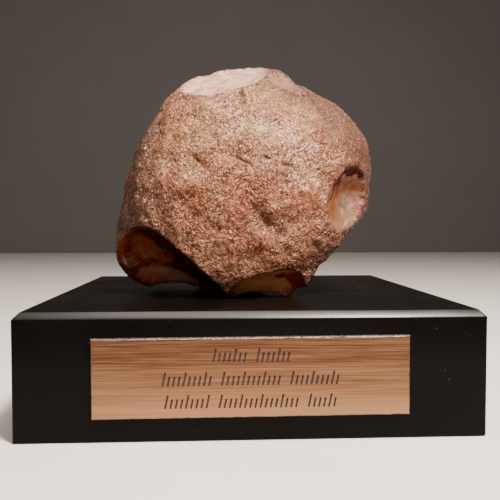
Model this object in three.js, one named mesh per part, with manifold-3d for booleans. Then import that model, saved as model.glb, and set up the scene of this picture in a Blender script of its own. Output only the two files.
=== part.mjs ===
// A flaked stone hand axe on its own small plinth with a metal nameplate.
// Millimetres, +Z up, front towards -Y. The plinth stands on z = 0.
import * as THREE from 'three';
import { mergeGeometries, mergeVertices } from 'three/addons/utils/BufferGeometryUtils.js';
import Module from 'manifold-3d';

// Plinth: a square block with a bevelled top edge.
const PLINTH_SIDE = 150;
const PLINTH_HEIGHT = 40.7;
const TOP_BEVEL = 2.3;
const BOTTOM_ARRIS = 0.4;
const CORNER_CUT = 0.8;

// Nameplate: a standard 100 x 25 plate, set a fifth of a degree off level.
const PLATE_WIDTH = 100;
const PLATE_HEIGHT = 25.3;
const PLATE_THICKNESS = 1.6;
const PLATE_EDGE = 0.5;
const PLATE_CORNER = 0.3;
const PLATE_X = -0.5;
const PLATE_Z = 20.2;
const PLATE_TILT_DEG = 0.2;

// The plate stands proud of the front, so the block sits half its thickness back.
const BLOCK_Y = PLATE_THICKNESS / 2;

// Three rows of shallow strokes take the place of the words. A row has its middle
// and the number of strokes in each of its groups.
const TALL_STROKE = 4.3;
const SHORT_STROKE = 3;
const STROKE_WIDTH = 0.6;
const STROKE_DEPTH = 0.35;
const STROKE_LEAN_DEG = 12;
const STROKE_PITCH = 1.6;
const GROUP_GAP = 2.4;
const TALL_EVERY = 4;
const STROKE_ROWS = [
  { x: -0.7, z: 27.2, groups: [7, 7] },
  { x: -0.8, z: 19.9, groups: [10, 12, 10] },
  { x: -0.8, z: 12.8, groups: [9, 16, 6] },
];

// Stone: every surface point lies on one ray from this middle.
const STONE_MIDDLE = new THREE.Vector3(0, -10 + BLOCK_Y, 86);
const STONE_DEPTH = 38;
const STONE_SQUARENESS = 2.25;
const MESH_DETAIL = 18;
const REST_GAP = 0.05;

// Points closer than this are one point.
const WELD_GAP = 1e-5;

// Radii of the cobble's front outline, every 15 degrees from the right, anticlockwise.
const OUTLINE = [
  50.4, 51.3, 49.1, 45.8, 43.6, 45.5, 45.2, 44.6,
  45.0, 44.6, 43.3, 44.8, 47.1, 51.4, 59.5, 62.6,
  64.0, 64.5, 63.0, 60.0, 56.0, 53.0, 51.0, 50.4,
];

// Each scar is the hollow that a rounded block leaves: its middle from the stone's
// middle, its half sizes, its turn in degrees and how square it is (2 is an ellipsoid).
const SCARS = [
  { name: 'top flake', at: [-26, -56.5, 108.4], half: [85, 85, 85], turn: [0, 0, 0], square: 2 },
  { name: 'left scoop', at: [-32.8, -36.5, -47.1], half: [28, 28, 20], turn: [0, 42.8, 0], square: 4 },
  { name: 'right scoop', at: [10.1, -38.4, -52.9], half: [18.6, 18, 18], turn: [0, -13.3, 0], square: 3 },
  { name: 'side hollow', at: [60.4, -68.1, -9.7], half: [26.1, 53.7, 32.6], turn: [0, 37.5, 22.3], square: 2 },
  { name: 'lobe facet', at: [-40.5, -21.5, -45.5], half: [13.5, 13.5, 13.5], turn: [0, 0, 0], square: 2 },
  { name: 'left arch', at: [-29, 2, -67.6], half: [20, 34, 27], turn: [0, -6, 0], square: 3 },
  { name: 'right arch', at: [3.6, 2, -48], half: [13.4, 34, 5.6], turn: [0, 0, 0], square: 2.5 },
  { name: 'under lobe', at: [-80.1, 8.1, -109.4], half: [80, 80, 80], turn: [0, 0, 0], square: 2 },
  { name: 'lobe side', at: [-77.9, -55.6, -57.2], half: [60, 60, 60], turn: [0, 0, 0], square: 2 },
  { name: 'old facet', at: [32.2, -46.2, 67.2], half: [45, 45, 45], turn: [0, 0, 0], square: 2 },
  { name: 'right flank', at: [85.3, 18.3, -87.7], half: [90, 90, 90], turn: [0, 0, 0], square: 2 },
  { name: 'rear left', at: [-40, 88, -62], half: [72, 72, 72], turn: [0, 0, 0], square: 2 },
  { name: 'rear right', at: [34, 78, -60], half: [58, 58, 58], turn: [0, 0, 0], square: 2 },
];

// Smooth closed curve through the outline radii.
function outlineRadius(angle) {
  const count = OUTLINE.length;
  const place = ((angle / (2 * Math.PI)) * count + count) % count;
  const i = Math.floor(place);
  const f = place - i;
  const a = OUTLINE[(i + count - 1) % count];
  const b = OUTLINE[i % count];
  const c = OUTLINE[(i + 1) % count];
  const d = OUTLINE[(i + 2) % count];
  const slope = c - a;
  const bend = 2 * a - 5 * b + 4 * c - d;
  const twist = -a + 3 * b - 3 * c + d;
  return 0.5 * (2 * b + slope * f + bend * f * f + twist * f * f * f);
}

// Distance from the middle to the unworked cobble in one direction.
function cobbleRadius(dir) {
  const side = Math.hypot(dir.x, dir.z) / outlineRadius(Math.atan2(dir.z, dir.x));
  const deep = Math.abs(dir.y) / STONE_DEPTH;
  const sum = Math.pow(side, STONE_SQUARENESS) + Math.pow(deep, STONE_SQUARENESS);
  return Math.pow(sum, -1 / STONE_SQUARENESS);
}

// A scar is worked out in its own frame, where its block has half sizes of 1.
const scarFrames = SCARS.map((scar) => {
  const [tx, ty, tz] = scar.turn.map(THREE.MathUtils.degToRad);
  const turn = new THREE.Matrix4().makeRotationFromEuler(new THREE.Euler(tx, ty, tz, 'ZYX'));
  const frame = new THREE.Matrix4()
    .makeTranslation(...scar.at)
    .multiply(turn)
    .multiply(new THREE.Matrix4().makeScale(...scar.half));
  const inverse = frame.invert();
  const start = new THREE.Vector3(0, 0, 0).applyMatrix4(inverse);
  return { inverse, start, square: scar.square };
});

// First point where a ray from the middle meets the scar, or Infinity.
function scarRadius(scar, dir) {
  const { start, square } = scar;
  const step = dir.clone().applyMatrix4(scar.inverse).sub(start);
  let r = 0;
  for (let pass = 0; pass < 24; pass += 1) {
    let sum = 0;
    let slope = 0;
    for (const axis of ['x', 'y', 'z']) {
      const q = start[axis] + r * step[axis];
      const size = Math.abs(q);
      sum += Math.pow(size, square);
      slope += square * Math.pow(size, square - 1) * Math.sign(q) * step[axis];
    }
    if (Math.abs(sum - 1) < 1e-9) {
      return r;
    }
    if (slope >= -1e-9) {
      return Infinity;
    }
    r -= (sum - 1) / slope;
  }
  return r;
}

// The surface is the nearest of the cobble, its scars and the plinth's top.
function stoneSurface(dir) {
  let radius = cobbleRadius(dir);
  let label = -1;
  scarFrames.forEach((scar, index) => {
    const r = scarRadius(scar, dir);
    if (r < radius) {
      radius = r;
      label = index;
    }
  });
  const drop = STONE_MIDDLE.z - PLINTH_HEIGHT - REST_GAP;
  if (dir.z < 0 && drop / -dir.z < radius) {
    radius = drop / -dir.z;
    label = SCARS.length;
  }
  return { radius, label };
}

// Where the surface changes from one scar to the next between two directions.
function edgeBetween(from, to, label) {
  let low = 0;
  let high = 1;
  const dir = new THREE.Vector3();
  for (let pass = 0; pass < 18; pass += 1) {
    const half = (low + high) / 2;
    dir.lerpVectors(from, to, half).normalize();
    if (stoneSurface(dir).label === label) {
      low = half;
    } else {
      high = half;
    }
  }
  return (low + high) / 2;
}

// The same shape with its touching points joined, so that it is closed.
function welded(geometry) {
  geometry.deleteAttribute('normal');
  geometry.deleteAttribute('uv');
  return mergeVertices(geometry, WELD_GAP);
}

// A ball of small triangles, with its points moved onto the scars' sharp edges.
function stoneGeometry() {
  const geometry = welded(new THREE.IcosahedronGeometry(1, MESH_DETAIL));
  const points = geometry.attributes.position;
  const index = geometry.index;
  const dirs = [];
  for (let i = 0; i < points.count; i += 1) {
    dirs.push(new THREE.Vector3().fromBufferAttribute(points, i).normalize());
  }
  const labels = dirs.map((dir) => stoneSurface(dir).label);
  const moves = [];
  for (let i = 0; i < index.count; i += 3) {
    for (let k = 0; k < 3; k += 1) {
      const a = index.getX(i + k);
      const b = index.getX(i + ((k + 1) % 3));
      if (labels[a] !== labels[b]) {
        const part = edgeBetween(dirs[a], dirs[b], labels[a]);
        if (part < 0.5) {
          moves.push({ part, a, b });
        }
      }
    }
  }
  moves.sort((m, n) => m.part - n.part);
  const moved = new Set();
  const settled = dirs.map((dir) => dir.clone());
  for (const { part, a, b } of moves) {
    if (!moved.has(a)) {
      settled[a].lerpVectors(dirs[a], dirs[b], part).normalize();
      moved.add(a);
    }
  }
  settled.forEach((dir, i) => {
    const { radius } = stoneSurface(dir);
    const point = dir.clone().multiplyScalar(radius).add(STONE_MIDDLE);
    points.setXYZ(i, point.x, point.y, point.z);
  });
  geometry.computeVertexNormals();
  return geometry;
}

// Skins a stack of level rings of equal length, each listed anticlockwise from above.
function stackGeometry(rings) {
  const count = rings[0].length;
  const flat = rings.flat(2);
  const faces = [];
  for (let level = 0; level + 1 < rings.length; level += 1) {
    for (let k = 0; k < count; k += 1) {
      const a = level * count + k;
      const b = level * count + ((k + 1) % count);
      faces.push(a, b, b + count);
      faces.push(a, b + count, a + count);
    }
  }
  const top = (rings.length - 1) * count;
  for (let k = 1; k + 1 < count; k += 1) {
    faces.push(0, k + 1, k);
    faces.push(top, top + k, top + k + 1);
  }
  const geometry = new THREE.BufferGeometry();
  geometry.setAttribute('position', new THREE.Float32BufferAttribute(flat, 3));
  geometry.setIndex(faces);
  return geometry;
}

// One level ring of a block with cut corners.
function ring(halfX, halfY, cut, z) {
  return [
    [-halfX + cut, -halfY, z],
    [halfX - cut, -halfY, z],
    [halfX, -halfY + cut, z],
    [halfX, halfY - cut, z],
    [halfX - cut, halfY, z],
    [-halfX + cut, halfY, z],
    [-halfX, halfY - cut, z],
    [-halfX, -halfY + cut, z],
  ];
}

function plinthGeometry() {
  const half = PLINTH_SIDE / 2;
  const foot = half - BOTTOM_ARRIS;
  const top = half - TOP_BEVEL;
  const geometry = stackGeometry([
    ring(foot, foot, CORNER_CUT, 0),
    ring(half, half, CORNER_CUT, BOTTOM_ARRIS),
    ring(half, half, CORNER_CUT, PLINTH_HEIGHT - TOP_BEVEL),
    ring(top, top, CORNER_CUT, PLINTH_HEIGHT),
  ]);
  return geometry.translate(0, BLOCK_Y, 0);
}

function toManifold(wasm, geometry) {
  const vertProperties = Float32Array.from(geometry.attributes.position.array);
  const triVerts = Uint32Array.from(geometry.index.array);
  const mesh = new wasm.Mesh({ numProp: 3, vertProperties, triVerts });
  return new wasm.Manifold(mesh);
}

function fromManifold(solid) {
  const mesh = solid.getMesh();
  const geometry = new THREE.BufferGeometry();
  const positions = new THREE.Float32BufferAttribute(mesh.vertProperties, 3);
  geometry.setAttribute('position', positions);
  geometry.setIndex(new THREE.BufferAttribute(mesh.triVerts, 1));
  return geometry;
}

// Bars that stand on a level line and lean one way, the first of every four tall.
function strokesGeometry() {
  const bars = [];
  for (const row of STROKE_ROWS) {
    const count = row.groups.reduce((sum, group) => sum + group, 0);
    const gaps = row.groups.length - 1;
    let x = row.x - ((count - 1) * STROKE_PITCH + gaps * GROUP_GAP) / 2;
    for (const group of row.groups) {
      for (let k = 0; k < group; k += 1) {
        const height = k % TALL_EVERY === 0 ? TALL_STROKE : SHORT_STROKE;
        const bar = new THREE.BoxGeometry(STROKE_WIDTH, 2 * STROKE_DEPTH, height);
        bar.translate(0, 0, (height - TALL_STROKE) / 2);
        bar.rotateY(THREE.MathUtils.degToRad(STROKE_LEAN_DEG));
        bar.translate(x - PLATE_X, -PLATE_THICKNESS, row.z - PLATE_Z);
        bars.push(bar);
        x += STROKE_PITCH;
      }
      x += GROUP_GAP;
    }
  }
  return welded(mergeGeometries(bars));
}

// Built standing at its own middle, with its worked face towards -Y.
function nameplateGeometry(wasm) {
  const halfX = PLATE_WIDTH / 2;
  const halfZ = PLATE_HEIGHT / 2;
  const slab = stackGeometry([
    ring(halfX, halfZ, PLATE_CORNER, 0),
    ring(halfX, halfZ, PLATE_CORNER, PLATE_THICKNESS - PLATE_EDGE),
    ring(halfX - PLATE_EDGE, halfZ - PLATE_EDGE, PLATE_CORNER, PLATE_THICKNESS),
  ]);
  slab.rotateX(Math.PI / 2);
  const cut = toManifold(wasm, slab).subtract(toManifold(wasm, strokesGeometry()));
  const geometry = fromManifold(cut);
  const front = BLOCK_Y - PLINTH_SIDE / 2;
  return geometry
    .rotateY(THREE.MathUtils.degToRad(-PLATE_TILT_DEG))
    .translate(PLATE_X, front, PLATE_Z);
}

const wasm = await Module();
wasm.setup();

function piece(name, geometry, colour, roughness, metalness) {
  const material = new THREE.MeshStandardMaterial({ color: colour, roughness, metalness });
  const mesh = new THREE.Mesh(geometry, material);
  mesh.name = name;
  return mesh;
}

const handAxe = new THREE.Group();
handAxe.name = 'hand_axe_on_plinth';
handAxe.add(piece('hand_axe', stoneGeometry(), 0x9a6b52, 0.75, 0));
handAxe.add(piece('plinth', plinthGeometry(), 0x141414, 0.35, 0));
handAxe.add(piece('nameplate', nameplateGeometry(wasm), 0xb08a6a, 0.35, 1));

export default handAxe;
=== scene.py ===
"""A flaked stone hand axe on its black plinth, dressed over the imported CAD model."""

import math
from functools import partial
from typing import NamedTuple

import bpy
import numpy as np
from bpy.props import FloatProperty, FloatVectorProperty, IntProperty, PointerProperty
from mathutils import Euler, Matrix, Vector, noise


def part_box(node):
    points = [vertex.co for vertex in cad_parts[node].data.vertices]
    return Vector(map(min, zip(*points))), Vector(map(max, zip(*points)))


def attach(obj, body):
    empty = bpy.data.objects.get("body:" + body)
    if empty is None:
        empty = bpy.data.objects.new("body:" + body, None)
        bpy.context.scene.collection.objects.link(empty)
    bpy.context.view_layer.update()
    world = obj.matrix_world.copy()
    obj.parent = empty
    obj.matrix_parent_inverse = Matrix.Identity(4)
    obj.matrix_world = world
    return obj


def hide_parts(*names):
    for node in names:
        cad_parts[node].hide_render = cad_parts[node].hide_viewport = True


bl_info = {
    "name": "Hand axe on a plinth",
    "version": (1, 0, 0),
    "blender": (4, 5, 0),
    "location": "View3D > Sidebar > Hand axe",
    "description": "Makes a flaked stone hand axe, its plinth and its nameplate",
    "category": "Object",
}

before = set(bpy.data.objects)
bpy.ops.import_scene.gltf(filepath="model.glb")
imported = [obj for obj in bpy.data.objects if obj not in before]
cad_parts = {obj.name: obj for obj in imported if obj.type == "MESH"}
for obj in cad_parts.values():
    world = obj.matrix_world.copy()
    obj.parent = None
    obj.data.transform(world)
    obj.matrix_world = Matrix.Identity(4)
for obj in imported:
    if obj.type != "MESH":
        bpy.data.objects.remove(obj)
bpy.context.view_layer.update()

MM = 0.001

# The camera that the photograph was taken from, in the plinth's frame.
CAMERA_PLACE = (-0.0119, -0.2755, 0.0672)
CAMERA_YAW_DEG = 3.05
CAMERA_PITCH_DEG = -2.07
CAMERA_LENS_MM = 46.57
SENSOR_MM = 36.0

# The stone's shape repeats the CAD source: every surface point lies on one ray
# from the stone's middle. The shape's numbers are millimetres.
PLATE_THICKNESS = 1.6
BLOCK_Y = PLATE_THICKNESS / 2
STONE_MIDDLE = np.array([0.0, -10.0 + BLOCK_Y, 86.0])
STONE_DEPTH = 38.0
STONE_SQUARENESS = 2.25
EDGE_BLEND = 0.35
FRONT_FAVOUR = 0.25  # how far the mesh points crowd towards the front
REST_GAP = 0.05
PLINTH_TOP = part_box("plinth")[1].z / MM
OUTLINE = [
    50.4, 51.3, 49.1, 45.8, 43.6, 45.5, 45.2, 44.6,
    45.0, 44.6, 43.3, 44.8, 47.1, 51.4, 59.5, 62.6,
    64.0, 64.5, 63.0, 60.0, 56.0, 53.0, 51.0, 50.4,
]


class Scar(NamedTuple):
    """The hollow that one struck flake left: a rounded block cut out of the stone."""

    middle: tuple
    half: tuple
    turn: tuple = (0, 0, 0)
    square: float = 2.0
    tone: float = 0.5  # 0 deep amber, 1 pale beige
    bare: float = 1.0  # 1 fresh stone, 0 skinned over


def ball(middle, radius, tone, bare=1.0):
    return Scar(middle, (radius,) * 3, tone=tone, bare=bare)


# The scars that the CAD source has too, from the stone's middle.
SCARS = {
    "top flake": ball((-26, -56.5, 108.4), 85, 0.86),
    "left scoop": Scar((-32.8, -36.5, -47.1), (28, 28, 20), (0, 42.8, 0), 4.0, 0.15),
    "right scoop": Scar((10.1, -38.4, -52.9), (18.6, 18, 18), (0, -13.3, 0), 3.0, 0.36),
    "side hollow": Scar((60.4, -68.1, -9.7), (26.1, 53.7, 32.6), (0, 37.5, 22.3), 2.0, 0.64),
    "lobe facet": ball((-40.5, -21.5, -45.5), 13.5, 0.2),
    "left arch": Scar((-29, 2, -67.6), (20, 34, 27), (0, -6, 0), 3.0, 0.24),
    "right arch": Scar((3.6, 2, -48), (13.4, 34, 5.6), (0, 0, 0), 2.5, 0.5),
    "under lobe": ball((-80.1, 8.1, -109.4), 80, 0.24),
    "lobe side": ball((-77.9, -55.6, -57.2), 60, 0.24),
    "old facet": ball((32.2, -46.2, 67.2), 45, 0.8, 0.25),
    "right flank": ball((85.3, 18.3, -87.7), 90, 0.45, 0.5),
    "rear left": ball((-40, 88, -62), 72, 0.5, 0.8),
    "rear right": ball((34, 78, -60), 58, 0.5, 0.8),
}


class Facet(NamedTuple):
    """A small flat break in a scar's floor, a millimetre deep at most."""

    corners: tuple  # seen from the front, clockwise
    tone: float
    red: float
    tilt: tuple  # rise per millimetre to the right and upwards


FACETS = {
    "red facet": Facet(
        ((-43.6, -37.0), (-41.7, -34.6), (-36.2, -33.0), (-32.0, -41.5), (-38.0, -43.0)),
        0.42, 0.42, (-0.2, -0.22),
    ),
    "pale facet": Facet(
        ((-36.0, -33.6), (-30.0, -34.6), (-18.0, -39.4), (-18.0, -42.0), (-31.5, -42.0)),
        0.56, 0.12, (0.12, -0.22),
    ),
}


class StainOrPaintedLight(NamedTuple):
    """A tint along a short line in the fresh stone. Some are real stains; others are painted shade or
    painted glow, as marked in the list.
    """

    start: tuple
    end: tuple
    reach: float
    tone: float
    red: float = 0.0
    # The gold amount paints a glow of light through thin stone.
    gold: float = 0.0


STAINS_AND_PAINTED_LIGHT = {
    "crust": StainOrPaintedLight((-47.6, -10.0, -32.0), (-44.6, -10.4, -34.2), 2.0, 0.5),
    "notch": StainOrPaintedLight((-48.4, -8.9, -35.6), (-45.0, -8.9, -37.6), 1.7, -0.8, 0.4),
    "stain over crust": StainOrPaintedLight((-46.4, -12.0, -27.8), (-43.6, -11.0, -30.4), 2.0, -0.22, 0.35),
    "amber": StainOrPaintedLight((-42.0, -12.0, -26.0), (-36.5, -11.5, -29.6), 4.0, 0.14),
    "shade under the lip": StainOrPaintedLight((-36.0, -16.0, -17.5), (-20.0, -13.5, -36.5), 5.4, -0.6, 0.1),
    # Painted shade under the right scoop's lip, over a red stain.
    "under the right lip": StainOrPaintedLight((2.0, -27.0, -37.0), (20.0, -26.0, -36.2), 1.8, -0.5, 0.4),
    # Painted glow: the two gold entries brighten the stone as if lit through where it is thin.
    "gold in the right scoop": StainOrPaintedLight((3.0, -27.0, -41.0), (13.0, -25.0, -40.5), 9.0, 0.1, 0.0, 0.9),
    "gold in the hollow": StainOrPaintedLight((38.5, -25.0, -0.5), (42.0, -22.0, -2.5), 1.6, 0.0, 0.0, 0.45),
    # Painted shadow of a small dent in the right scoop.
    "dark oval": StainOrPaintedLight((11.5, -25.0, -37.4), (12.5, -25.0, -37.4), 1.6, -0.5, 0.3),
    "red end": StainOrPaintedLight((18.0, -24.9, -37.6), (20.0, -23.0, -41.0), 3.4, -0.4, 0.9),
    "pink rubble": StainOrPaintedLight((15.0, -21.6, -43.4), (17.5, -21.6, -43.0), 1.4, 0.3, 0.45),
    # Painted shade along the hollow's top and left wall, below its rim. The dark fringe also marks the
    # crushed, hackly top edge.
    "dark fringe": StainOrPaintedLight((35.5, -27.0, 3.4), (43.0, -23.5, 2.4), 3.0, -0.9, 0.1),
    "amber under the fringe": StainOrPaintedLight((34.0, -26.0, -2.0), (42.5, -20.5, -2.5), 4.6, -0.26),
    "left of the hollow": StainOrPaintedLight((33.0, -28.0, -3.0), (31.0, -27.0, -13.0), 4.4, -0.24),
    "rim of the hollow": StainOrPaintedLight((35.0, -28.0, 2.6), (31.2, -29.0, -8.0), 1.1, -0.5, 0.1),
}

# Creases and grooves in the skin: two ends, half width and depth.
CREASES = [
    ((-3.0, -29.3, 31.0), (-1.4, -33.1, 24.9), 0.9, 1.3),
    ((1.5, -34.2, 21.7), (2.5, -35.2, 19.1), 0.6, 0.6),
    ((-20.2, -34.6, 6.6), (-15.6, -36.4, 2.2), 0.6, 0.6),
    ((-6.1, -37.6, 6.4), (1.0, -38.0, 2.9), 0.6, 0.6),
    ((4.9, -37.7, 6.1), (9.1, -37.5, 4.4), 0.6, 0.5),
    ((9.1, -37.6, 3.7), (18.2, -36.3, 2.4), 0.6, 0.5),
    ((0.3, -37.7, -11.2), (13.1, -34.6, -23.6), 2.4, 1.8),
]

# Whitish patches of the skin: middle and reach. They are partly rubbed stone and partly painted sheen,
# the broad highlight over the upper middle.
RUBBED_AND_SHEEN = [
    ((4.7, -35.7, 17.3), 5.0),
    ((13.0, -35.2, 14.0), 8.0),
    ((19.4, -34.5, 4.3), 9.0),
    ((22.0, -33.5, -3.0), 6.0),
    ((-6.0, -34.0, 21.0), 6.0),
    ((-5.2, -31.1, 28.2), 3.4),
    ((6.3, -37.8, 3.3), 3.4),
    ((-2.2, -38.0, 1.1), 3.0),
    ((-40.2, -20.6, 4.3), 1.0),
    ((-37.7, -26.8, -9.0), 1.0),
    ((-32.5, -22.6, 17.1), 1.4),
]

# Grooves in the fresh stone: two ends, half width and depth.
CRACKS = [
    ((35.4, -21.0, -11.0), (38.9, -12.5, -16.5), 1.2, 1.3),
]


# The attributes that the stone's mesh stores for its material.
STORED = ["bare", "tone", "red", "gold", "relief", "edge", "dark", "rubbed", "flank", "worn", "dusty"]
TONES = [0.0, 0.2, 0.44, 0.68, 0.95]  # where umber, amber, ochre, rose and pale lie
SKIN_TONE = 0.5
FOOT_TONE = 0.3
FOOT_RIM_Z = -42
RIPPLE_SPACING = 4.2
FLINT_IOR = 1.54
NO_MEETING = 1e9


def linear(colour):
    """Turns an sRGB hex colour into the linear colour that sockets take."""
    channels = [int(colour[i : i + 2], 16) / 255 for i in (1, 3, 5)]
    return tuple(c / 12.92 if c <= 0.04045 else ((c + 0.055) / 1.055) ** 2.4 for c in channels)


def colour_property(name, description, colour):
    return FloatVectorProperty(
        name=name, description=description, default=linear(colour), subtype="COLOR", min=0.0, max=1.0
    )


def length_property(name, description, millimetres):
    return FloatProperty(
        name=name, description=description, default=millimetres * MM, min=0.0, unit="LENGTH"
    )


def power_property(name, description, watts):
    return FloatProperty(name=name, description=description, default=watts, min=0.0)


class HandAxeStone(bpy.types.PropertyGroup):
    mesh_steps: IntProperty(
        name="Mesh steps", description="Quads along a side of a patch", default=126, min=16, max=128
    )
    swell_height: length_property("Swell height", "Height of the broad swells", 0.9)
    lump_height: length_property("Lump height", "Height of the fingertip-sized lumps", 1.1)
    grain_height: length_property("Grain height", "Height of the folded grain", 0.45)
    grain_size: length_property("Grain size", "Width of one fold of the grain", 1.9)
    ripple_height: length_property("Ripple height", "Height of a scar's ripples", 0.08)
    skin: colour_property("Skin", "Main colour of the weathered skin", "#93624a")
    rust: colour_property("Rust", "Iron-stained patches of the skin", "#85482c")
    tan: colour_property("Tan", "Worn, dusty patches of the skin", "#a88468")
    plum: colour_property("Plum", "Dark varnish patches of the skin", "#4d3129")
    pit: colour_property("Pit", "Dirt in the pits of the skin", "#180b06")
    # Speck colours the bright crests, which are partly worn points and partly painted glints, and the
    # painted sheen on the top.
    speck_and_highlight: colour_property("Speck", "Bright worn points of the grain", "#f5d0a2")
    # Chalk whitens the rubbed patches and the painted sheen.
    chalk: colour_property("Chalk", "Whitish rubbed patches of the skin", "#cfae98")
    umber: colour_property("Umber", "Darkest fresh stone", "#1d0c07")
    amber: colour_property("Amber", "Fresh stone in the deep scars", "#66260d")
    ochre: colour_property("Ochre", "Fresh stone at half tone", "#6c4324")
    # Gold paints the glow of light through thin amber stone.
    gold: colour_property("Gold", "Fresh stone that lets light through", "#c07c48")
    rose: colour_property("Rose", "Fresh stone in the hollow on the right", "#705445")
    pale: colour_property("Pale", "Fresh stone in the weathered scars", "#c39c8a")
    blood: colour_property("Blood", "Red iron stain in the deep scars", "#7d1f0d")


class HandAxePlinth(bpy.types.PropertyGroup):
    bevel: length_property("Bevel", "Width of the bevel round the top", 2.3)
    corner: length_property("Corner", "Radius of the upright corners", 0.9)
    lacquer: colour_property("Lacquer", "Colour of the black lacquer", "#080605")
    dust: colour_property("Dust", "Specks of dust on the lacquer", "#8c837c")


class HandAxeNameplate(bpy.types.PropertyGroup):
    width: length_property("Width", "Width of the plate", 100)
    height: length_property("Height", "Height of the plate", 25.3)
    edge: length_property("Edge", "Mean width of the sawn edge", 0.42)
    tall_stroke: length_property("Tall stroke", "Height of the first of every four strokes", 4.3)
    short_stroke: length_property("Short stroke", "Height of the other strokes", 3)
    stroke_width: length_property("Stroke width", "Width of a stroke", 0.6)
    stroke_depth: length_property("Stroke depth", "Depth of a stroke", 0.35)
    stroke_pitch: length_property("Stroke pitch", "From one stroke to the next", 1.6)
    group_gap: length_property("Group gap", "Added room between two groups", 2.4)
    stroke_lean: FloatProperty(
        name="Stroke lean", description="Lean to the right", default=math.radians(12), subtype="ANGLE"
    )
    metal: colour_property("Metal", "Colour of the brushed face", "#9a7355")
    # This colour darkens the plate towards its top as painted shade, and mottles the face broadly.
    top_shade_and_mottle: colour_property("Tarnish", "Tarnish near the plate's top", "#50301e")
    bright: colour_property("Bright", "Freshest brush lines", "#bd9878")
    burr: colour_property("Burr", "Dark side of the torn edge", "#3a322d")
    cut: colour_property("Cut", "Bright side of the torn edge", "#8a7f76")
    filler: colour_property("Filler", "Dark filler in the strokes", "#1f0e08")
    wax: colour_property("Wax", "Paler smears in the filler", "#4f2f1d")


class HandAxeStage(bpy.types.PropertyGroup):
    floor: colour_property("Floor", "Colour of the plain floor", "#cfcac4")
    wall: colour_property("Wall", "Colour of the plain backdrop", "#5b5857")
    light: colour_property("Light", "Colour of the lights", "#fff1e6")
    air: colour_property("Air", "Colour of the even light all round", "#8f8c8a")
    key_power: power_property("Key power", "Watts of the light high on the right", 27.0)
    overhead_power: power_property("Overhead power", "Watts of the light straight above", 4.5)
    front_power: power_property("Front power", "Watts of the light high in front", 1.8)
    low_power: power_property("Low power", "Watts of the small light low in front", 0.3)


# Shape of the stone


def outline_radius(angle):
    """Radius of the cobble's front outline, a smooth closed curve."""
    radii = np.array(OUTLINE)
    count = len(radii)
    place = (angle / (2 * np.pi) * count) % count
    i = np.floor(place).astype(int)
    f = place - i
    a, b, c, d = (radii[(i + k) % count] for k in (-1, 0, 1, 2))
    slope = c - a
    bend = 2 * a - 5 * b + 4 * c - d
    twist = -a + 3 * b - 3 * c + d
    return 0.5 * (2 * b + slope * f + bend * f**2 + twist * f**3)


def cobble_radius(dirs):
    """Distance from the middle to the unworked cobble."""
    side = np.hypot(dirs[:, 0], dirs[:, 2])
    side = side / outline_radius(np.arctan2(dirs[:, 2], dirs[:, 0]))
    deep = np.abs(dirs[:, 1]) / STONE_DEPTH
    total = side**STONE_SQUARENESS + deep**STONE_SQUARENESS
    return total ** (-1 / STONE_SQUARENESS)


def scar_radius(dirs, middle, half, turn, square):
    """First meeting of each ray with a scar's rounded block, or NO_MEETING."""
    turned = np.array(Euler([math.radians(t) for t in turn], "XYZ").to_matrix())
    inverse = turned.T / np.array(half, float)[:, None]
    start = -inverse @ np.array(middle, float)
    step = dirs @ inverse.T
    r = np.zeros(len(dirs))
    meets = np.ones(len(dirs), bool)
    for _ in range(16):
        q = start + r[:, None] * step
        size = np.abs(q)
        total = (size**square).sum(1)
        slope = (square * size ** (square - 1) * np.sign(q) * step).sum(1)
        meets &= ~((slope >= -1e-9) & (total > 1.0005))
        r = r - np.where(meets, (total - 1) / np.minimum(slope, -1e-9), 0)
    return np.where(meets & (r > 0), r, NO_MEETING)


def stone_surface(dirs):
    """The surface along each ray: radius, label, next label, clearance to the next.

    Label 0 is the skin, then come the scars in order, then the foot."""
    layers = [cobble_radius(dirs)]
    for scar in SCARS.values():
        layers.append(scar_radius(dirs, scar.middle, scar.half, scar.turn, scar.square))
    drop = STONE_MIDDLE[2] - PLINTH_TOP - REST_GAP
    down = np.maximum(-dirs[:, 2], 1e-6)
    layers.append(np.where(dirs[:, 2] < 0, drop / down, NO_MEETING))
    layers = np.array(layers)
    order = np.argpartition(layers, 1, axis=0)[:2]
    nearest, following = np.take_along_axis(layers, order, axis=0)
    return nearest, order[0], order[1], following - nearest


def patch_ball(steps):
    """Directions and quads of a ball covered by six square patches, finest in front."""
    i, j = np.meshgrid(np.arange(steps + 1), np.arange(steps + 1), indexing="ij")
    keys = []
    quads = []
    for axis in range(3):
        for end in (0, steps):
            key = np.zeros((steps + 1, steps + 1, 3), int)
            key[..., axis] = end
            key[..., (axis + 1) % 3] = i
            key[..., (axis + 2) % 3] = j
            base = len(keys) * (steps + 1) ** 2
            number = base + np.arange((steps + 1) ** 2).reshape(steps + 1, steps + 1)
            corners = [number[:-1, :-1], number[1:, :-1], number[1:, 1:], number[:-1, 1:]]
            quad = np.stack(corners, axis=-1).reshape(-1, 4)
            quads.append(quad if end else quad[:, ::-1])
            keys.append(key.reshape(-1, 3))
    keys = np.concatenate(keys)
    quads = np.concatenate(quads)
    unique, joined = np.unique(keys, axis=0, return_inverse=True)
    places = np.tan((unique / steps * 2 - 1) * math.pi / 4)
    dirs = places / np.linalg.norm(places, axis=1)[:, None]
    dirs[:, 1] -= FRONT_FAVOUR
    dirs /= np.linalg.norm(dirs, axis=1)[:, None]
    return dirs, joined.reshape(-1)[quads]


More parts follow.
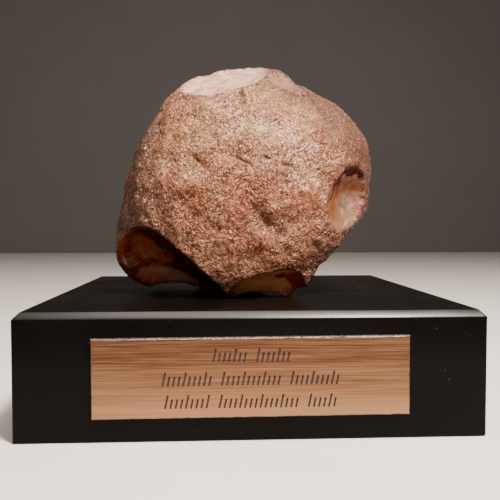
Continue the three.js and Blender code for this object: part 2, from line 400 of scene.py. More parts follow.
def snap_to_edges(dirs, quads):
    """Moves points onto the lines where one scar meets the next."""
    label = stone_surface(dirs)[1]
    pairs = np.concatenate([quads[:, [k, (k + 1) % 4]] for k in range(4)])
    pairs = pairs[label[pairs[:, 0]] != label[pairs[:, 1]]]
    start, end = dirs[pairs[:, 0]], dirs[pairs[:, 1]]
    low = np.zeros(len(pairs))
    high = np.ones(len(pairs))
    for _ in range(14):
        half = (low + high) / 2
        mid = start + (end - start) * half[:, None]
        mid /= np.linalg.norm(mid, axis=1)[:, None]
        same = stone_surface(mid)[1] == label[pairs[:, 0]]
        low = np.where(same, half, low)
        high = np.where(same, high, half)
    part = (low + high) / 2
    settled = dirs.copy()
    order = np.argsort(-part)
    order = order[part[order] < 0.5]
    moved = start + (end - start) * part[:, None]
    settled[pairs[order, 0]] = moved[order]
    return settled / np.linalg.norm(settled, axis=1)[:, None]


def noise_field(points, size, octaves=1, seed=0.0):
    """Smooth noise from about -1 to 1 whose bumps are size millimetres wide."""
    shift = Vector((seed * 7.13, seed * 3.71, seed * 5.37))
    scaled = points / size
    if octaves == 1:
        values = (noise.noise(Vector(p) + shift) for p in scaled)
    else:
        values = (noise.fractal(Vector(p) + shift, 1.0, 2.0, octaves) for p in scaled)
    return np.fromiter(values, float, len(points))


def smooth_step(value, low, high):
    t = np.clip((value - low) / (high - low), 0, 1)
    return t * t * (3 - 2 * t)


def distance_to_line(points, start, end):
    start = np.array(start, float)
    along = np.array(end, float) - start
    part = np.clip(((points - start) @ along) / (along @ along), 0, 1)
    return np.linalg.norm(points - start - part[:, None] * along, axis=1), part


def crease(points, start, end, width, wobble):
    """1 along a wavering line, falling to 0 past its width and at its ends."""
    gap, part = distance_to_line(points, start, end)
    taper = np.sin(np.clip(part, 0.04, 0.96) * math.pi) ** 0.5
    return taper * np.exp(-(((gap + wobble) / width) ** 2))


def depth_inside(points, corners):
    """Distance to the nearest side of a convex outline seen from the front."""
    ring = np.array(corners)
    along = np.roll(ring, -1, axis=0) - ring
    inward = np.stack([along[:, 1], -along[:, 0]], axis=1)
    inward /= np.linalg.norm(along, axis=1)[:, None]
    gaps = (points[:, None, [0, 2]] - ring) * inward
    return gaps.sum(axis=2).min(axis=1)


def stone_relief(points, settings):
    """Heights in millimetres of the broad swells and lumps, and of the folded grain."""
    swell = noise_field(points, 22, 2, seed=3) * settings.swell_height
    lump = noise_field(points, 8.5, 3, seed=5) * settings.lump_height
    size = settings.grain_size / MM
    leans = smooth_step(noise_field(points, 7, 1, seed=23), -0.15, 0.15)
    grain = np.zeros(len(points))
    for weight, lean in ((leans, 40), (1 - leans, -35)):
        turn = math.radians(lean)
        across = points[:, 0] * math.cos(turn) - points[:, 2] * math.sin(turn)
        along = points[:, 0] * math.sin(turn) + points[:, 2] * math.cos(turn)
        drawn = np.stack([across, points[:, 1], along / 1.5], axis=1)
        grain += weight * np.abs(noise_field(drawn, size, 2, seed=7 + lean))
    grain = (grain - 0.25) * settings.grain_height / MM
    return (swell + lump) / MM, grain


def ripples(points, label, settings):
    """Heights in millimetres of the ripples in each scar."""
    height = np.zeros(len(points))
    for number, scar in enumerate(SCARS.values(), 1):
        on = label == number
        wave = np.linalg.norm(points[on] - np.array(scar.middle) * 0.55, axis=1)
        bend = noise_field(points[on], 9, 2, seed=17 + number)
        height[on] = np.sin((wave + bend * 3) * 2 * math.pi / RIPPLE_SPACING)
        height[on] += noise_field(points[on], 3.5, 3, seed=41)
    return height * settings.ripple_height / MM


def scar_masks(points, label, following, clearance, fray):
    """Where the stone is bare, and its tone, red and painted gold glow. The tone also carries the painted
    shade listed with the stains.

    On an edge both sides count half, so that colours meet in a clean line."""
    share = 0.5 * (1 - np.clip(clearance / EDGE_BLEND, 0, 1))
    bares = np.array([0.0, *(scar.bare for scar in SCARS.values()), 1.0])
    tones = np.array([SKIN_TONE, *(scar.tone for scar in SCARS.values()), FOOT_TONE])
    bare = bares[label] * (1 - share) + bares[following] * share
    beside = np.where(following == 0, label, following)
    tone = tones[label] * (1 - share) + tones[beside] * share
    red = np.zeros(len(points))
    gold = np.zeros(len(points))
    # Real stains, painted shade and painted glow, each along its line.
    for stain in STAINS_AND_PAINTED_LIGHT.values():
        gap = distance_to_line(points, stain.start, stain.end)[0]
        gap += fray * (0.8 + stain.reach * 0.4)
        spot = 1 - smooth_step(gap, stain.reach * 0.5, stain.reach * 1.2)
        tone += spot * stain.tone
        red = np.maximum(red, spot * stain.red)
        gold = np.maximum(gold * (1 - spot), spot * stain.gold)
    return bare, tone, red, gold


def skin_masks(points, fray):
    """Where the skin is whitish from rubbing and painted sheen, dark at the flanks, worn smooth, and
    lighter towards the top as painted sheen.
    """
    x, y, z = points.T
    rubbed = np.zeros(len(points))
    for middle, reach in RUBBED_AND_SHEEN:
        gap = np.linalg.norm(points - np.array(middle), axis=1) + fray * reach
        rubbed = np.maximum(rubbed, 1 - smooth_step(gap, 0, reach * 1.3))
    flank = np.maximum.reduce([-32 - x, x - 33, 0.6 * x - 0.8 * z - 35, 0.8 * x + 0.6 * z - 32])
    flank = smooth_step(flank + fray * 5, -5, 9)
    flank *= 1 - smooth_step(y + fray * 6, -4, 18)
    worn = smooth_step(0.6 * x + 0.8 * z + fray * 5, 22, 38) * (x > 0)
    # Painted sheen: the skin grows lighter towards the top.
    dusty = smooth_step(z - 0.2 * x + fray * 5, -10, 18) * (1 - 0.6 * flank)
    return rubbed, flank, worn, dusty


def add_facets(points, fronts, rise, tone, red):
    """Tilts the small facets of the left scoop and tints them, in place, with a painted shadow line along
    each facet's border.
    """
    for facet in FACETS.values():
        inset = depth_inside(points, facet.corners)
        within = smooth_step(inset, -0.3, 0.3) * fronts
        middle_x, middle_z = np.mean(facet.corners, axis=0)
        slant = (points[:, 0] - middle_x) * facet.tilt[0]
        slant += (points[:, 2] - middle_z) * facet.tilt[1]
        rise += within * np.clip(slant, -0.9, 0.9)
        # The last term is a painted shadow line along the facet's border.
        tone += within * (facet.tone - tone) - 0.2 * fronts * np.exp(-((inset / 0.5) ** 2))
        red += within * (facet.red - red)


def cut_grooves(points, bare, fray, rise):
    """Cuts the creases and cracks into the heights, in place, and gives their painted shade."""
    dark = np.zeros(len(points))
    for where, lines in ((1 - bare, CREASES), (bare, CRACKS)):
        for start, end, width, depth in lines:
            groove = where * crease(points, start, end, width, np.abs(fray) * 0.5)
            rise -= groove * depth
            # Painted shade, darker the deeper and narrower the groove.
            dark = np.maximum(dark, groove * min(0.65 * depth / width, 0.8))
    return dark


def new_object(name, data):
    made = bpy.data.objects.new(name, data)
    bpy.context.scene.collection.objects.link(made)
    return made


def mesh_object(name, points, faces, material):
    """A mesh object at the origin, from points in metres."""
    mesh = bpy.data.meshes.new(name)
    mesh.from_pydata(points.tolist(), [], [list(map(int, f)) for f in faces])
    mesh.validate()
    mesh.materials.append(material)
    return new_object(name, mesh)


# Materials


def feed(tree, node, inputs):
    """Gives a node its inputs: a value, or a socket to link from."""
    for key, value in inputs.items():
        socket = node.inputs[key]
        if isinstance(value, bpy.types.NodeSocket):
            tree.links.new(value, socket)
        elif socket.type == "RGBA":
            socket.default_value = (*value, 1.0)
        else:
            socket.default_value = value


def add_node(tree, kind, inputs=None, **settings):
    """Adds one node with its settings and links."""
    made = tree.nodes.new(kind)
    for key, value in settings.items():
        setattr(made, key, value)
    feed(tree, made, inputs or {})
    return made


# Short names of the nodes used most: kind, inputs in order, output and settings.
SHORT = {
    "place": ("ShaderNodeTexCoord", (), "Object", {}),
    "stored": ("ShaderNodeAttribute", (), "Fac", {}),
    "xyz": ("ShaderNodeCombineXYZ", ("X", "Y", "Z"), "Vector", {}),
    "height": ("ShaderNodeSeparateXYZ", ("Vector",), "Z", {}),
    "mapping": ("ShaderNodeMapping", ("Vector", "Rotation", "Scale"), "Vector", {}),
    "noise": ("ShaderNodeTexNoise", ("Vector", "Scale", "Detail", "Roughness", "Distortion"), "Fac", {}),
    "spread": ("ShaderNodeMapRange", ("Value", "From Min", "From Max", "To Min", "To Max"), "Result", {}),
    "ramp": ("ShaderNodeValToRGB", ("Fac",), "Color", {}),
    "blend": ("ShaderNodeMix", (0, 6, 7), 2, {"data_type": "RGBA"}),
    "mix": ("ShaderNodeMix", (0, 2, 3), 0, {"data_type": "FLOAT"}),
    "math": ("ShaderNodeMath", (0, 1), "Value", {}),
    "times": ("ShaderNodeMath", (0, 1), "Value", {"operation": "MULTIPLY"}),
    "plus": ("ShaderNodeMath", (0, 1), "Value", {"operation": "ADD"}),
    "bump": ("ShaderNodeBump", ("Height", "Strength", "Distance"), "Normal", {}),
}


def put(tree, name, *values, **settings):
    """Adds a node by its short name and gives its output."""
    kind, keys, output, usual = SHORT[name]
    made = add_node(tree, kind, dict(zip(keys, values)), **{**usual, **settings})
    return made.outputs[output]


def new_material(name):
    """An empty material, a maker of its nodes and the place on the object."""
    material = bpy.data.materials.new(name)
    material.use_nodes = True
    material.node_tree.nodes.clear()
    make = partial(put, material.node_tree)
    return material, make, make("place")


def add_shader(material, inputs):
    """Ends a material with its Principled shader."""
    tree = material.node_tree
    shader = add_node(tree, "ShaderNodeBsdfPrincipled", inputs)
    add_node(tree, "ShaderNodeOutputMaterial", {"Surface": shader.outputs["BSDF"]})
    return material


def scale_of(size_mm):
    """Noise scale whose features are about size_mm wide."""
    return 1 / (size_mm * MM)


def folds(make, place, size_mm, lean_deg, stretch):
    """Lumps parted by thin creases, drawn out along one slanting direction."""
    turn = (0.0, math.radians(lean_deg), 0.0)
    slanted = make("mapping", place, turn, (1.0, 1.0, stretch), vector_type="TEXTURE")
    field = make("noise", slanted, scale_of(size_mm), 2.0, 0.55, 0.25)
    gap = make("math", field, 0.5, operation="SUBTRACT")
    return make("spread", make("math", gap, operation="ABSOLUTE"), 0.0, 0.26)


def flint_material(settings):
    """Silicified cobble, tumbled by a river and then weathered for ages.

    The skin is a satin brown varnish of iron and manganese over short folded
    grain, with dirt in the creases of the grain, crests partly worn bright and
    partly painted glints, whitish patches partly rubbed and partly painted sheen,
    and a painted sheen that lightens its top. The scars are smoother stone, amber
    where deep and pale where weathered, with painted shade in grooves, under lips
    and in the hollow, and a painted gold glow where the stone is thin."""
    material, make, place = new_material("weathered_flint")
    stored = {name: make("stored", attribute_name=name) for name in STORED}
    bare = stored["bare"]

    # Patches of varnish: size in millimetres, detail, roughness, warp, from, to, most.
    skin = settings.skin
    for size, detail, rough, warp, low, high, most, colour in [
        (19, 4.0, 0.6, 0.6, 0.44, 0.62, 0.7, settings.rust),
        (12, 5.0, 0.65, 0.9, 0.54, 0.7, 0.6, settings.tan),
        (26, 5.0, 0.6, 0.4, 0.52, 0.64, 0.7, settings.plum),
    ]:
        patch = make("noise", place, scale_of(size), detail, rough, warp)
        skin = make("blend", make("spread", patch, low, high, 0, most), skin, colour)
    # The flanks and worn parts darken towards plum; the top lightens towards the speck colour as painted
    # sheen.
    for name, most, colour in [
        ("flank", 0.75, settings.plum),
        ("dusty", 0.09, settings.speck_and_highlight),
        ("worn", 0.3, settings.plum),
    ]:
        skin = make("blend", make("times", stored[name], most), skin, colour)

    # Folded grain, about 1.2 by 2.4 mm, in patches that lean either way.
    leans = make("spread", make("noise", place, scale_of(9)), 0.42, 0.58)
    grain = make("mix", leans, folds(make, place, 1.2, 50, 2.0), folds(make, place, 1.1, -40, 1.7))
    fine = make("noise", place, scale_of(0.75), 2.0, 0.55, 0.4)
    grit = make("noise", place, scale_of(0.42), 1.0)
    pits = make("spread", grain, 0.25, 0.02, 0, 0.84)
    for darkening in [
        make("times", pits, make("spread", stored["worn"], 0, 1, 1.0, 0.5)),
        make("spread", fine, 0.46, 0.36, 0, 0.3),
        make("spread", grit, 0.4, 0.3, 0, 0.3),
        make("spread", stored["relief"], -0.1, -0.8, 0, 0.5),
    ]:
        skin = make("blend", darkening, skin, settings.pit)
    # Bright crests of the grain, most on the raised relief: partly worn points, partly painted glints.
    tops_and_glints = make("times", make("spread", grain, 0.48, 0.9), make("spread", fine, 0.52, 0.68))
    tops_and_glints = make("times", tops_and_glints, make("spread", stored["relief"], -0.4, 0.5, 0.2, 0.8))
    tops_and_glints = make("times", tops_and_glints, make("spread", grit, 0.4, 0.62, 0.45, 1.25))
    skin = make("blend", tops_and_glints, skin, settings.speck_and_highlight)
    # Rubbed patches and painted sheen, whitened towards chalk.
    chalk_and_sheen = make("times", stored["rubbed"], make("spread", grain, 0.1, 0.75, 0.0, 0.8))
    skin = make("blend", chalk_and_sheen, skin, settings.chalk)

    # Fresh stone in the scars, from dark to pale, with veins and stains. The tone also carries painted
    # shade, and gold is a painted glow.
    cloud = make("noise", place, scale_of(4.5), 5.0, 0.62, 0.8)
    tone = make("plus", stored["tone"], make("spread", cloud, 0.3, 0.7, -0.16, 0.16))
    fresh = make("ramp", tone)
    stops = fresh.node.color_ramp.elements
    colours = [settings.umber, settings.amber, settings.ochre, settings.rose, settings.pale]
    for position in TONES[1:-1]:
        stops.new(position)
    for stop, position, colour in zip(stops, TONES, colours):
        stop.position = position
        stop.color = (*colour, 1.0)
    veins = make("noise", place, scale_of(1.6), 4.0, 0.7, 1.2)
    for part, colour in [
        (make("spread", veins, 0.47, 0.4, 0, 0.35), settings.amber),
        (stored["gold"], settings.gold),
        (stored["red"], settings.blood),
    ]:
        fresh = make("blend", part, fresh, colour)
    colour = make("blend", bare, skin, fresh)

    # Painted shade in the creases and cracks, and a crushed, dirty line along each scar's edge.
    crushed = make("spread", make("noise", place, scale_of(1.3), 3.0, 0.6), 0.42, 0.6)
    crushed = make("times", make("times", stored["edge"], crushed), 0.8)
    for darkening in (stored["dark"], crushed):
        colour = make("blend", darkening, colour, settings.pit)

    rough_skin = make("spread", grain, 0.1, 0.7, 0.58, 0.28)
    rough_scar = make("spread", fine, 0.3, 0.7, 0.4, 0.55)
    sheen_skin = make("spread", make("times", grain, fine), 0.08, 0.4, 0.06, 1.0)
    sheen_scar = make("spread", tone, 0.1, 0.6, 0.03, 0.28)
    height = make("plus", grain, make("times", fine, 0.8))
    height = make("plus", height, make("times", grit, 0.7))
    height = make("times", height, make("spread", bare, 0, 1, 1.0, 0.15))
    inputs = {
        "Base Color": colour,
        "Roughness": make("mix", bare, rough_skin, rough_scar),
        "Specular IOR Level": make("mix", bare, sheen_skin, sheen_scar),
        "Normal": make("bump", height, 1.0, 0.46 * MM),
        "IOR": FLINT_IOR,
    }
    return add_shader(material, inputs)


def lacquer_material(settings):
    """Black nitrocellulose lacquer, sprayed on wood and rubbed to a satin.

    Almost black, with soft wide reflections, a faint orange peel and dust. Cloths
    have polished the bevel, which is glossier than the flat sides."""
    material, make, place = new_material("black_lacquer_on_wood")
    peel = make("noise", place, scale_of(1.4))
    smear = make("noise", place, scale_of(38), 3.0, 0.55, 0.5)
    motes = make("noise", place, scale_of(0.75), 1.0)
    dust = make("spread", motes, 0.757, 0.785, 0, 0.2)
    height = make("height", place)
    top = PLINTH_TOP * MM
    low_end = make("spread", height, top - settings.bevel, top - 0.8 * settings.bevel)
    high_end = make("spread", height, top, top - 0.1 * settings.bevel)
    polish = make("times", low_end, high_end)
    inputs = {
        "Base Color": make("blend", dust, settings.lacquer, settings.dust),
        "Roughness": make("spread", smear, 0.35, 0.65, 0.26, 0.36),
        "Specular IOR Level": make("spread", polish, 0, 1, 0.06, 0.38),
        "Normal": make("bump", peel, 0.05, 0.2 * MM),
    }
    return add_shader(material, inputs)


def plate_material(settings, name, brushed):
    """Copper-rich brass sheet.

    The face is brushed along its length, so its sheen runs across the strokes
    of the brush. The sawn edge is duller, greyer and torn."""
    material, make, place = new_material(name)
    if brushed:
        # Brush lines are drawn 0.3 mm wide, coarser than the real ones, to show.
        drawn = make("mapping", place, (0.0, 0.0, 0.0), (0.012, 1.0, 1.0))
        lines = make("noise", drawn, scale_of(0.3), 3.0, 0.7)
        broad = make("noise", drawn, scale_of(3.2), 3.0, 0.6)
        # Painted shade: the face darkens towards its top; broad noise mottles it.
        shade_and_mottle = make("spread", make("height", place), 7 * MM, 27 * MM, 0.0, 1.1)
        shade_and_mottle = make("plus", shade_and_mottle, make("spread", broad, 0.35, 0.65, -0.14, 0.16))
        colour = make("blend", shade_and_mottle, settings.metal, settings.top_shade_and_mottle)
        colour = make("blend", make("spread", lines, 0.4, 0.66, 0, 0.3), colour, settings.bright)
        rough = make("spread", lines, 0.3, 0.7, 0.3, 0.48)
        normal = make("bump", lines, 0.3, 0.06 * MM)
    else:
        torn = make("noise", place, scale_of(0.9), 4.0, 0.7)
        colour = make("blend", make("spread", torn, 0.35, 0.65), settings.burr, settings.cut)
        rough = make("spread", torn, 0.3, 0.7, 0.35, 0.6)
        normal = make("bump", torn, 0.8, 0.3 * MM)
    inputs = {"Base Color": colour, "Roughness": rough, "Normal": normal, "Metallic": 1.0}
    return add_shader(material, inputs)


def filler_material(settings):
    """Dark wax filler, wiped into the strokes: matt, brown black."""
    material, make, place = new_material("dark_wax_filler")
    patch = make("spread", make("noise", place, scale_of(0.8)), 0.45, 0.7, 0, 0.5)
    colour = make("blend", patch, settings.filler, settings.wax)
    return add_shader(material, {"Base Color": colour, "Roughness": 0.7})


def plain_material(name, colour, roughness):
    """Matt painted studio surface with a very faint mottling."""
    material, make, place = new_material(name)
    patch = make("spread", make("noise", place, scale_of(90)), 0.3, 0.7, 0, 0.06)
    shade = make("blend", patch, colour, (0.0, 0.0, 0.0))
    return add_shader(material, {"Base Color": shade, "Roughness": roughness})


# Pieces


class HANDAXE_OT_stone(bpy.types.Operator):
    """Makes the flaked cobble, with its skin's grain and its scars' ripples"""

    bl_idname = "hand_axe.make_stone"
    bl_label = "Stone"

    def execute(self, context):
        settings = context.scene.hand_axe_stone
        dirs, quads = patch_ball(settings.mesh_steps)
        dirs = snap_to_edges(dirs, quads)
        radius, label, following, clearance = stone_surface(dirs)
        points = dirs * radius[:, None]
        piece = mesh_object("stone", (points + STONE_MIDDLE) * MM, quads, flint_material(settings))
        normals = np.empty(points.size)
        piece.data.vertex_normals.foreach_get("vector", normals)

        fray = noise_field(points, 3.2, 4, seed=29)
        bare, tone, red, gold = scar_masks(points, label, following, clearance, fray)

        # The hollow's top and right rim is crushed into crumbs.
        hollow = list(SCARS).index("side hollow") + 1
        crumbs = noise_field(points, 1.9, 3, seed=31)
        rim = ((label == hollow) | (following == hollow)) * np.exp(-clearance / 1.8)
        rim *= smooth_step(0.8 * points[:, 0] + 0.4 * points[:, 2], 24, 31)
        tone += rim * np.clip(crumbs, -0.6, 0.25)
        bare = np.maximum(bare, 0.8 * rim * (crumbs > 0.15))

        skin = 1 - bare
        edge = np.exp(-clearance / 0.7)
        broad, grain = stone_relief(points, settings)
        rise = broad * (0.35 + 0.65 * skin) + grain * skin
        rise += edge * noise_field(points, 1.7, 3, seed=13) * 0.4 + rim * crumbs * 0.7
        add_facets(points, bare * (points[:, 1] < 0), rise, tone, red)
        dark = cut_grooves(points, bare, fray, rise)
        rise += ripples(points, label, settings) * (1 - edge)

        # Nothing rises on the foot, and little at its rim.
        foot = np.where(points[:, 2] < FOOT_RIM_Z, smooth_step(clearance, 0.0, 1.0), 1.0)
        rise *= np.where(label == len(SCARS) + 1, 0.0, foot)

        shaped = points + normals.reshape(-1, 3) * rise[:, None]
        shaped[:, 2] = np.maximum(shaped[:, 2], PLINTH_TOP + REST_GAP - STONE_MIDDLE[2])
        low, high = (np.array(corner) / MM - STONE_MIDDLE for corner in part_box("hand_axe"))
        shaped = np.clip(shaped, low, high)
        world = (shaped + STONE_MIDDLE) * MM
        piece.data.vertices.foreach_set("co", world.astype(np.float32).ravel())

        relief = np.clip(grain / 0.4, -1, 1) * skin
        masks = [bare, tone, red, gold, relief, edge, dark, *skin_masks(points, fray)]
        for name, values in zip(STORED, masks):
            mask = piece.data.attributes.new(name, "FLOAT", "POINT")
            mask.data.foreach_set("value", values.astype(np.float32))
        piece.data.shade_smooth()
        piece.data.update()
        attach(piece, "root")
        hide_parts("hand_axe")
        return {"FINISHED"}


def rounded_square(half, corner, turns):
    """Points of a square with round corners, anticlockwise from above."""
    points = []
    for side in range(4):
        for k in range(turns + 1):
            angle = math.radians(-90 + 90 * side + 90 * k / turns)
            middle = Vector((half - corner, half - corner))
            middle.x *= 1 if side in (0, 1) else -1
            middle.y *= 1 if side in (1, 2) else -1
            points.append((middle.x + corner * math.cos(angle), middle.y + corner * math.sin(angle)))
    return points


def ring_object(name, rings, material):
    """A closed body over a stack of equal rings."""
    points = np.array([p for ring in rings for p in ring])
    count = len(rings[0])
    faces = []
    for level in range(len(rings) - 1):
        for k in range(count):
            a = level * count + k
            b = level * count + (k + 1) % count
            faces.append((a, b, b + count, a + count))
    faces.append(tuple(reversed(range(count))))
    last = (len(rings) - 1) * count
    faces.append(tuple(range(last, last + count)))
    return mesh_object(name, points, faces, material)


class HANDAXE_OT_plinth(bpy.types.Operator):
    """Makes the lacquered block with its bevelled top"""

    bl_idname = "hand_axe.make_plinth"
    bl_label = "Plinth"

    def execute(self, context):
        settings = context.scene.hand_axe_plinth
        low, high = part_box("plinth")
        half = (high.x - low.x) / 2
        middle_y = (low.y + high.y) / 2
        bevel = settings.bevel
        soft = 0.22 * MM

        # Inset and height of each ring; soft rounds the edges of the bevel.
        profile = [
            (0.4 * MM, 0.0),
            (0.12 * MM, 0.1 * MM),
            (0.0, 0.4 * MM),
            (0.0, high.z - bevel - soft),
            (0.3 * soft, high.z - bevel - 0.1 * soft),
            (soft, high.z - bevel + soft),
            (bevel - soft, high.z - soft),
            (bevel, high.z - 0.25 * soft),
            (bevel + 1.3 * soft, high.z),
        ]
        rings = []
        for inset, z in profile:
            corner = max(settings.corner - inset * 0.35, 0.2 * MM)
            outline = rounded_square(half - inset, corner, 6)
            rings.append([(x, y + middle_y, z) for x, y in outline])
        piece = ring_object("block", rings, lacquer_material(settings))
        for face in piece.data.polygons:
            face.use_smooth = len(face.vertices) == 4
        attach(piece, "root")
        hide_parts("plinth")
        return {"FINISHED"}


SIDE_STEPS = (110, 28)  # points along the plate's long and short sides
TEAR_SIZE = 3.2 * MM
FEWEST_FACES = 400  # the plate has fewer only if the strokes weren't cut

# Three rows of strokes: the row's middle, then how many strokes each group has.
STROKE_ROWS = [
    (-0.7, 27.2, (7, 7)),
    (-0.8, 19.9, (10, 12, 10)),
    (-0.8, 12.8, (9, 16, 6)),
]
TALL_EVERY = 4
PLATE_MIDDLE = (-0.5, 20.2)
PLATE_TILT_DEG = 0.2


def stroke_tree():
    """Geometry nodes that add one group of slanting strokes on a level line."""
    tree = bpy.data.node_groups.new("Group of strokes", "GeometryNodeTree")
    face = tree.interface
    face.new_socket("Geometry", in_out="OUTPUT", socket_type="NodeSocketGeometry")
    kinds = {"Geometry": "Geometry", "Count": "Int", "Start": "Vector", "Filler": "Material"}
    kinds |= dict.fromkeys(["Pitch", "Width", "Tall", "Short", "Depth", "Lean"], "Float")
    for name, kind in kinds.items():
        face.new_socket(name, in_out="INPUT", socket_type="NodeSocket" + kind)
    make = partial(put, tree)
    given = add_node(tree, "NodeGroupInput").outputs
    step = make("xyz", given["Pitch"])
    row = {"Count": given["Count"], "Start Location": given["Start"], "Offset": step}
    line = add_node(tree, "GeometryNodeMeshLine", row)
    number = add_node(tree, "GeometryNodeInputIndex").outputs["Index"]
    place = make("math", number, float(TALL_EVERY), operation="MODULO")
    short = make("math", place, 1.0, operation="MINIMUM")
    height = make("mix", short, given["Tall"], given["Short"])
    lift = make("times", make("math", height, given["Tall"], operation="SUBTRACT"), 0.5)
    sideways = make("times", lift, make("math", given["Lean"], operation="SINE"))
    down = make("times", lift, make("math", given["Lean"], operation="COSINE"))
    shift = make("xyz", sideways, 0.0, down)
    level = add_node(tree, "GeometryNodeSetPosition", {"Geometry": line.outputs["Mesh"], "Offset": shift})
    bar = add_node(tree, "GeometryNodeMeshCube", {"Size": (1.0, 2.0, 1.0)})
    placed = add_node(
        tree,
        "GeometryNodeInstanceOnPoints",
        {
            "Points": level.outputs["Geometry"],
            "Instance": bar.outputs["Mesh"],
            "Rotation": make("xyz", 0.0, given["Lean"]),
            "Scale": make("xyz", given["Width"], given["Depth"], height),
        },
    )
    joined = add_node(tree, "GeometryNodeJoinGeometry", {"Geometry": given["Geometry"]})
    tree.links.new(placed.outputs["Instances"], joined.inputs["Geometry"])
    real = add_node(tree, "GeometryNodeRealizeInstances", {"Geometry": joined.outputs[0]})
    painted = add_node(
        tree, "GeometryNodeSetMaterial", {"Geometry": real.outputs[0], "Material": given["Filler"]}
    )
    add_node(tree, "NodeGroupOutput", {"Geometry": painted.outputs["Geometry"]})
    return tree


def stroke_groups(settings):
    """First stroke and number of strokes of each group, in metres."""
    pitch = settings.stroke_pitch
    for x, z, groups in STROKE_ROWS:
        width = (sum(groups) - 1) * pitch + (len(groups) - 1) * settings.group_gap
        start = x * MM - width / 2
        for count in groups:
            yield start, z * MM, count
            start += count * pitch + settings.group_gap


def apply_modifiers(piece):
    bpy.context.view_layer.update()
    depsgraph = bpy.context.evaluated_depsgraph_get()
    mesh = bpy.data.meshes.new_from_object(piece.evaluated_get(depsgraph))
    piece.modifiers.clear()
    piece.data = mesh


class HANDAXE_OT_nameplate(bpy.types.Operator):
    """Makes the brushed plate, with three rows of strokes that aren't letters"""

    bl_idname = "hand_axe.make_nameplate"
    bl_label = "Nameplate"

    def execute(self, context):
        settings = context.scene.hand_axe_nameplate
        low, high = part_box("nameplate")
        face_y = low.y
        middle = Vector((PLATE_MIDDLE[0] * MM, 0.0, PLATE_MIDDLE[1] * MM))
        tilt = Euler((0.0, math.radians(-PLATE_TILT_DEG), 0.0)).to_matrix()

        outline = []
        corners = [(-1, -1), (1, -1), (1, 1), (-1, 1)]
        for side, start in enumerate(corners):
            end = corners[(side + 1) % 4]
            steps = SIDE_STEPS[side % 2]
            for k in range(steps):
                part = k / steps
                x = (start[0] + (end[0] - start[0]) * part) * settings.width / 2
                z = (start[1] + (end[1] - start[1]) * part) * settings.height / 2
                outline.append(Vector((x, 0.0, z)))
        inward = Vector((1 / settings.width, 0, 1 / settings.height))

        # Rings from the back to the face: place, inset and how far the edge wanders.
        rings = []
        for depth, inset, wander in [
            (high.y, 0.0, 0.0),
            (face_y + 0.6 * MM, 0.05 * MM, 0.12),
            (face_y + 0.15 * MM, 0.55 * settings.edge, 0.5),
            (face_y, settings.edge, 0.5),
        ]:
            ring = []
            for p in outline:
                drift = noise.fractal(p / TEAR_SIZE + Vector((0, depth * 900, 0)), 1.0, 2.0, 3)
                amount = max(inset * (1 + wander * drift), 0.0)
                shrink = Vector((1 - amount * 2 * inward.x, 1, 1 - amount * 2 * inward.z))
                q = tilt @ Vector((p.x * shrink.x, 0.0, p.z * shrink.z)) + middle
                ring.append((q.x, depth, q.z))
            rings.append(ring)
        edge = plate_material(settings, "sawn_brass_edge", brushed=False)
        piece = ring_object("plate", rings, edge)
        piece.data.materials.append(plate_material(settings, "brushed_brass", brushed=True))
        for polygon in piece.data.polygons:
            if len(polygon.vertices) > 4:
                polygon.material_index = 1

        tree = stroke_tree()
        names = {s.name: s.identifier for s in tree.interface.items_tree if s.in_out == "INPUT"}
        bars = new_object("bars", bpy.data.meshes.new("bars"))
        common = {
            "Pitch": settings.stroke_pitch,
            "Width": settings.stroke_width,
            "Tall": settings.tall_stroke,
            "Short": settings.short_stroke,
            "Depth": settings.stroke_depth,
            "Lean": settings.stroke_lean,
            "Filler": filler_material(settings),
        }
        for x, z, count in stroke_groups(settings):
            modifier = bars.modifiers.new("Strokes", "NODES")
            modifier.node_group = tree
            for name, value in {**common, "Count": count, "Start": (x, face_y, z)}.items():
                modifier[names[name]] = value
        apply_modifiers(bars)
        cut = piece.modifiers.new("Cut", "BOOLEAN")
        cut.object = bars
        cut.operation = "DIFFERENCE"
        cut.solver = "EXACT"
        cut.material_mode = "TRANSFER"
        apply_modifiers(piece)
        bpy.data.objects.remove(bars)
        if len(piece.data.polygons) < FEWEST_FACES:
            raise RuntimeError("the strokes were not cut into the plate")
        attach(piece, "root")
        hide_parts("nameplate")
        return {"FINISHED"}


# The studio, in metres: each light's place, aim and size.
LIGHTS = {
    "key": ((0.24, -0.38, 0.72), (0.0, 0.0, 0.08), (0.16, 0.16)),
    "overhead": ((-0.02, -0.16, 0.75), (0.0, -0.1, 0.04), (0.55, 0.3)),
    "front": ((-0.02, -0.85, 0.68), (0.0, 0.0, 0.08), (0.5, 0.35)),
    "low": ((0.08, -0.62, 0.05), (0.0, 0.0, 0.06), (0.3, 0.08)),
}
AIR_STRENGTH = 0.09
FLOOR_REACH = 2.5
FLOOR_Z = -0.0002  # a hair under the plinth
WALL_Y = 1.4
WALL_TOP = 2.2


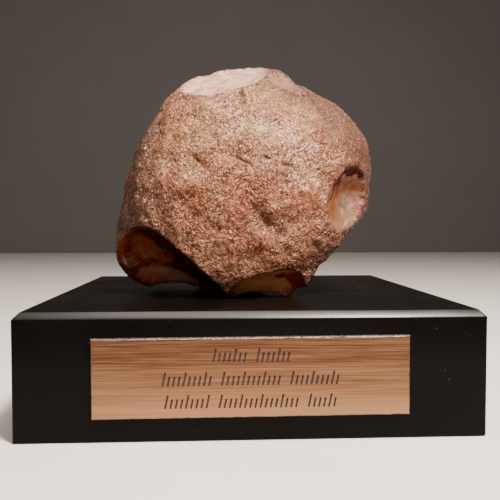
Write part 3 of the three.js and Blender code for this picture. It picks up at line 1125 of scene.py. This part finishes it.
class HANDAXE_OT_stage(bpy.types.Operator):
    """Makes the floor, the backdrop, the lights and the camera"""

    bl_idname = "hand_axe.make_stage"
    bl_label = "Stage"

    def execute(self, context):
        settings = context.scene.hand_axe_stage
        x, y, z = FLOOR_REACH, WALL_Y, FLOOR_Z
        level = np.array([(-x, -x, z), (x, -x, z), (x, y, z), (-x, y, z)])
        upright = np.array([(-x, y, z), (x, y, z), (x, y, WALL_TOP), (-x, y, WALL_TOP)])
        paint = plain_material("studio_floor_paint", settings.floor, 0.8)
        ground = mesh_object("floor", level, [(0, 1, 2, 3)], paint)
        paint = plain_material("studio_wall_paint", settings.wall, 0.9)
        back = mesh_object("backdrop", upright, [(0, 1, 2, 3)], paint)

        for name, (spot, aim, size) in LIGHTS.items():
            data = bpy.data.lights.new(name, "AREA")
            data.shape = "RECTANGLE"
            data.size, data.size_y = size
            data.energy = getattr(settings, name + "_power")
            data.color = settings.light
            light = new_object(name, data)
            light.location = spot
            ray = Vector(aim) - Vector(spot)
            light.rotation_euler = ray.to_track_quat("-Z", "Y").to_euler()
        world = bpy.data.worlds.new("studio")
        world.use_nodes = True
        sky = world.node_tree.nodes["Background"]
        feed(world.node_tree, sky, {"Color": settings.air, "Strength": AIR_STRENGTH})
        context.scene.world = world

        data = bpy.data.cameras.new("camera")
        data.lens = CAMERA_LENS_MM
        data.sensor_width = SENSOR_MM
        data.clip_start = 0.01
        camera = new_object("camera", data)
        camera.location = CAMERA_PLACE
        camera.rotation_euler = (math.radians(90 + CAMERA_PITCH_DEG), 0.0, math.radians(-CAMERA_YAW_DEG))
        context.scene.camera = camera
        return {"FINISHED"}


class HANDAXE_PT_pieces(bpy.types.Panel):
    """Lists the pieces with their sizes and colours"""

    bl_label = "Hand axe"
    bl_idname = "HANDAXE_PT_pieces"
    bl_space_type = "VIEW_3D"
    bl_region_type = "UI"
    bl_category = "Hand axe"

    def draw(self, context):
        for piece in ("stone", "plinth", "nameplate", "stage"):
            box = self.layout.box()
            box.operator("hand_axe.make_" + piece)
            settings = getattr(context.scene, "hand_axe_" + piece)
            for name in settings.__annotations__:
                box.prop(settings, name)


SETTINGS = {
    "hand_axe_stone": HandAxeStone,
    "hand_axe_plinth": HandAxePlinth,
    "hand_axe_nameplate": HandAxeNameplate,
    "hand_axe_stage": HandAxeStage,
}
CLASSES = [
    *SETTINGS.values(),
    HANDAXE_OT_stone,
    HANDAXE_OT_plinth,
    HANDAXE_OT_nameplate,
    HANDAXE_OT_stage,
    HANDAXE_PT_pieces,
]


def register():
    for each in CLASSES:
        bpy.utils.register_class(each)
    for name, group in SETTINGS.items():
        setattr(bpy.types.Scene, name, PointerProperty(type=group))


def unregister():
    for name in SETTINGS:
        delattr(bpy.types.Scene, name)
    for each in reversed(CLASSES):
        bpy.utils.unregister_class(each)


def main():
    register()
    bpy.ops.hand_axe.make_stage()
    bpy.ops.hand_axe.make_plinth()
    bpy.ops.hand_axe.make_nameplate()
    bpy.ops.hand_axe.make_stone()


if __name__ == "__main__":
    main()
